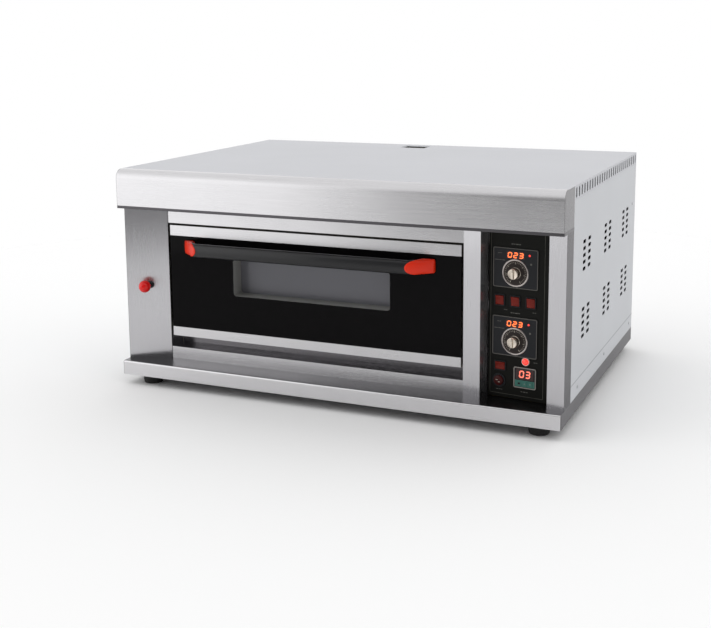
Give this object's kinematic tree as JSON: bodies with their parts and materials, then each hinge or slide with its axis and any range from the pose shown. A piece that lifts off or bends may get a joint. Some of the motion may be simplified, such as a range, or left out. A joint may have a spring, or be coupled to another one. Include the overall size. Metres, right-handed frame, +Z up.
{
  "type": "electric deck oven",
  "caption": "Single-deck electric bakery oven with a drop-down windowed door, bar handle, slanted control panel, steam damper, heated chamber and slotted side panels.",
  "frame": {"origin": "middle of the footprint on the floor, under the feet", "axes": "+Z up, front faces -Y, +X to the right of someone facing the oven"},
  "size_m": [1.223, 0.88, 0.595],
  "materials": {
    "brushed_fascia": "brushed stainless sheet, satin",
    "polished_ledge": "polished stainless sheet, near mirror",
    "light_painted_sheet": "light grey powder coat, satin",
    "grey_base_sheet": "dark grey coated sheet",
    "foot_rubber": "moulded black rubber",
    "zinc_fastener": "zinc plated",
    "liner_steel": "heat resistant sheet, satin",
    "deck_steel": "dark rolled plate",
    "mineral_wool": "pressed mineral wool slab",
    "element_sheath": "oxidised tube sheath",
    "lamp_ceramic": "glazed ceramic",
    "clear_glass": "clear heat resistant glass",
    "window_pane": "tinted toughened glass",
    "black_door_panel": "black enamelled toughened glass",
    "door_seal": "silicone seal",
    "black_handle": "black heat resistant moulding",
    "red_handle_end": "glossy red moulding",
    "red_ball": "glossy red moulding",
    "black_bush": "turned black bush",
    "plated_rod": "plated rod",
    "black_panel": "black screen-printed plate",
    "instrument_black": "black moulded case",
    "dial_metal": "satin turned cap",
    "digit_window": "dark red tinted window",
    "switch_red": "dark red translucent rocker",
    "alarm_red": "very dark red moulding",
    "lamp_lens": "lit red lens",
    "key_green": "blue green key film",
    "switchgear_plastic": "moulded switchgear",
    "wire_jacket": "sleeved wiring",
    "gland_nylon": "moulded nylon"
  },
  "bodies": {
    "casing": {"base_pan": "grey_base_sheet", "cable_gland": "gland_nylon", "centre_post": "brushed_fascia", "chamber_floor": "liner_steel", "chamber_insulation": "mineral_wool", "chamber_left_wall": "liner_steel", "chamber_rear_wall": "liner_steel", "chamber_right_wall": "liner_steel", "chamber_roof": "liner_steel", "contactors": "switchgear_plastic", "control_plate": "black_panel", "damper_bush": "black_bush", "deck_plate": "deck_steel", "digit_windows": "digit_window", "fasteners": "zinc_fastener", "feet": "foot_rubber", "flue_duct": "liner_steel", "front_ledge": "polished_ledge", "header_rail": "brushed_fascia", "hinge_brackets": "zinc_fastener", "hood_fascia": "brushed_fascia", "indicator_lamp": "lamp_lens", "instrument_cases": "instrument_black", "lamp_glass": "clear_glass", "lamp_holder": "lamp_ceramic", "left_pillar": "brushed_fascia", "lower_elements": "element_sheath", "rear_panel": "light_painted_sheet", "right_post": "brushed_fascia", "side_panel_left": "light_painted_sheet", "side_panel_right": "light_painted_sheet", "sill_rail": "brushed_fascia", "switch_housings": "instrument_black", "temperature_probes": "element_sheath", "terminal_block": "switchgear_plastic", "top_sheet": "light_painted_sheet", "upper_elements": "element_sheath", "wiring_harness": "wire_jacket"},
    "door": {"door_front_panel": "black_door_panel", "door_strips": "brushed_fascia", "door_inner_panel": "liner_steel", "door_window_box": "liner_steel", "door_window_glass": "window_pane", "door_hinge_bushes": "zinc_fastener", "door_insulation": "mineral_wool", "door_gasket": "door_seal", "handle_bar": "black_handle", "handle_ends": "red_handle_end"},
    "damper": {"damper_rod": "plated_rod", "damper_knob": "red_ball"},
    "upper_dial": {"upper_dial_knob": "dial_metal"},
    "lower_dial": {"lower_dial_knob": "dial_metal"},
    "alarm": {"alarm_button": "alarm_red"},
    "heat_rocker_1": {"rocker_1": "switch_red"},
    "heat_rocker_2": {"rocker_2": "switch_red"},
    "heat_rocker_3": {"rocker_3": "switch_red"},
    "light_rocker": {"rocker_4": "switch_red"},
    "key_1": {"timer_key_1": "key_green"},
    "key_2": {"timer_key_2": "key_green"},
    "key_3": {"timer_key_3": "key_green"}
  },
  "joints": [
    {"name": "door_hinge", "type": "hinge", "parent": "casing", "child": "door", "pos_m": [0, -0.336, 0.148], "axis": [1, 0, 0], "range_deg": [0, 90]},
    {"name": "damper_pull", "type": "slide", "parent": "casing", "child": "damper", "axis": [0, -1, 0], "range_m": [0, 0.05]},
    {"name": "upper_dial_turn", "type": "hinge", "parent": "casing", "child": "upper_dial", "pos_m": [0.47483, -0.36021, 0.38], "axis": [0.1287, 0.9917, 0], "range_deg": [0, 300]},
    {"name": "lower_dial_turn", "type": "hinge", "parent": "casing", "child": "lower_dial", "pos_m": [0.47483, -0.36021, 0.211], "axis": [0.1287, 0.9917, 0], "range_deg": [0, 300]},
    {"name": "heat_rocker_1_tilt", "type": "hinge", "parent": "casing", "child": "heat_rocker_1", "pos_m": [0.43467, -0.355, 0.31], "axis": [-0.9917, 0.1287, 0], "range_deg": [0, 14]},
    {"name": "heat_rocker_2_tilt", "type": "hinge", "parent": "casing", "child": "heat_rocker_2", "pos_m": [0.47483, -0.36021, 0.31], "axis": [-0.9917, 0.1287, 0], "range_deg": [0, 14]},
    {"name": "heat_rocker_3_tilt", "type": "hinge", "parent": "casing", "child": "heat_rocker_3", "pos_m": [0.51499, -0.36542, 0.31], "axis": [-0.9917, 0.1287, 0], "range_deg": [0, 14]},
    {"name": "light_rocker_tilt", "type": "hinge", "parent": "casing", "child": "light_rocker", "pos_m": [0.43764, -0.35538, 0.146], "axis": [-0.9917, 0.1287, 0], "range_deg": [0, 14]},
    {"name": "alarm_press", "type": "slide", "parent": "casing", "child": "alarm", "axis": [0.1287, 0.9917, 0], "range_m": [0, 0.003], "stiffness_N_per_m": 800},
    {"name": "key_1_press", "type": "slide", "parent": "casing", "child": "key_1", "axis": [0.1287, 0.9917, 0], "range_m": [0, 0.001], "stiffness_N_per_m": 600},
    {"name": "key_2_press", "type": "slide", "parent": "casing", "child": "key_2", "axis": [0.1287, 0.9917, 0], "range_m": [0, 0.001], "stiffness_N_per_m": 600},
    {"name": "key_3_press", "type": "slide", "parent": "casing", "child": "key_3", "axis": [0.1287, 0.9917, 0], "range_m": [0, 0.001], "stiffness_N_per_m": 600}
  ]
}
